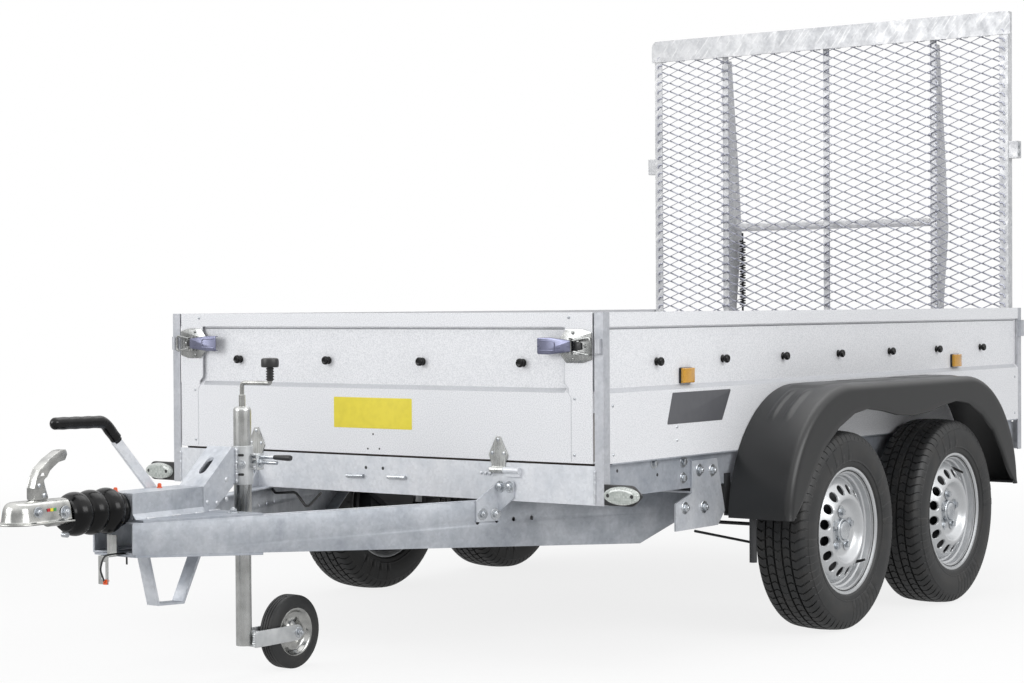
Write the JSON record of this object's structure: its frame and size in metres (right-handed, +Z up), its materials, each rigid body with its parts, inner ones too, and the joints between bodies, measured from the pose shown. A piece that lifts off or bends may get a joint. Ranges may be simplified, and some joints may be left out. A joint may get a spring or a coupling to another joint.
{
  "type": "utility trailer",
  "caption": "Tandem-axle utility trailer with a box bed, drop front panel, upright mesh loading ramp at the rear and an overrun coupling with a jockey wheel.",
  "frame": {"origin": "on the ground under the middle of the whole trailer", "axes": "+X forward to the coupling, +Y to the trailer's left, +Z up"},
  "size_m": [4.304, 2.04, 2.083],
  "materials": {
    "galvanised": "hot-dip galvanised, mottled light blue-grey",
    "coated_sheet": "metal-coated sheet, fine speckle",
    "floor": "phenolic-coated plywood",
    "zinc": "bright zinc plate",
    "rim_silver": "silver paint",
    "tyre": "matt black",
    "rubber": "matt black",
    "black_plastic": "satin black",
    "amber_lens": "amber lens",
    "red_lens": "red lens",
    "clear_lens": "clear lens",
    "axle_black": "galvanised, dull"
  },
  "bodies": {
    "chassis": {"axle_front": "axle_black", "axle_rear": "axle_black", "breakaway_cable": "rubber", "coupling_bellows": "rubber", "coupling_handle": "zinc", "coupling_head": "zinc", "coupling_housing": "galvanised", "coupling_plates": "galvanised", "cross_members": "galvanised", "drawbar_brackets": "galvanised", "drawbar_left": "galvanised", "drawbar_right": "galvanised", "drawtube": "zinc", "floor_board": "floor", "front_beam": "galvanised", "front_lamps": "clear_lens", "front_posts": "galvanised", "handbrake_grip": "rubber", "handbrake_lever": "galvanised", "jockey_bracket": "galvanised", "jockey_clamp": "zinc", "jockey_crank": "zinc", "jockey_tube": "zinc", "mudguard_left": "black_plastic", "mudguard_right": "black_plastic", "mudguard_stays": "galvanised", "plug_holder": "galvanised", "rear_beam": "galvanised", "rear_lamps": "red_lens", "rear_posts": "galvanised", "side_beam_left": "galvanised", "side_beam_right": "galvanised", "side_knobs": "black_plastic", "side_panel_left": "coated_sheet", "side_panel_right": "coated_sheet", "side_reflectors": "amber_lens", "under_hoop": "galvanised"},
    "front_panel_body": {"front_panel": "coated_sheet", "front_hinges": "galvanised", "front_knobs": "black_plastic", "front_latches": "zinc"},
    "ramp_body": {"ramp_frame": "galvanised", "ramp_mesh": "galvanised", "ramp_beams": "galvanised", "ramp_lugs": "galvanised"},
    "wheel_front_left": {"tyre_front_left": "tyre", "rim_front_left": "rim_silver"},
    "wheel_front_right": {"tyre_front_right": "tyre", "rim_front_right": "rim_silver"},
    "wheel_rear_left": {"tyre_rear_left": "tyre", "rim_rear_left": "rim_silver"},
    "wheel_rear_right": {"tyre_rear_right": "tyre", "rim_rear_right": "rim_silver"},
    "jockey_swivel": {"jockey_inner_tube": "zinc"},
    "jockey_wheel": {"jockey_tyre": "rubber", "jockey_rim": "black_plastic"}
  },
  "joints": [
    {"name": "wheel_front_left_spin", "type": "hinge", "parent": "chassis", "child": "wheel_front_left", "pos_m": [-0.328, 0.908, 0.306], "axis": [0, 1, 0], "continuous": true},
    {"name": "wheel_front_right_spin", "type": "hinge", "parent": "chassis", "child": "wheel_front_right", "pos_m": [-0.328, -0.908, 0.306], "axis": [0, 1, 0], "continuous": true},
    {"name": "wheel_rear_left_spin", "type": "hinge", "parent": "chassis", "child": "wheel_rear_left", "pos_m": [-1.084, 0.908, 0.306], "axis": [0, 1, 0], "continuous": true},
    {"name": "wheel_rear_right_spin", "type": "hinge", "parent": "chassis", "child": "wheel_rear_right", "pos_m": [-1.084, -0.908, 0.306], "axis": [0, 1, 0], "continuous": true},
    {"name": "jockey_swivel_turn", "type": "hinge", "parent": "chassis", "child": "jockey_swivel", "pos_m": [1.338, 0.03, 0.3], "axis": [0, 0, 1], "continuous": true},
    {"name": "jockey_wheel_spin", "type": "hinge", "parent": "jockey_swivel", "child": "jockey_wheel", "pos_m": [1.154, 0.03, 0.102], "axis": [0, 1, 0], "continuous": true},
    {"name": "front_panel_hinge", "type": "hinge", "parent": "chassis", "child": "front_panel_body", "pos_m": [0.7613, 0, 0.541], "axis": [0, 1, 0], "range_deg": [0, 101]},
    {"name": "ramp_hinge", "type": "hinge", "parent": "chassis", "child": "ramp_body", "pos_m": [-2.06, 0, 0.556], "axis": [0, -1, 0], "range_deg": [0, 111.5]}
  ]
}
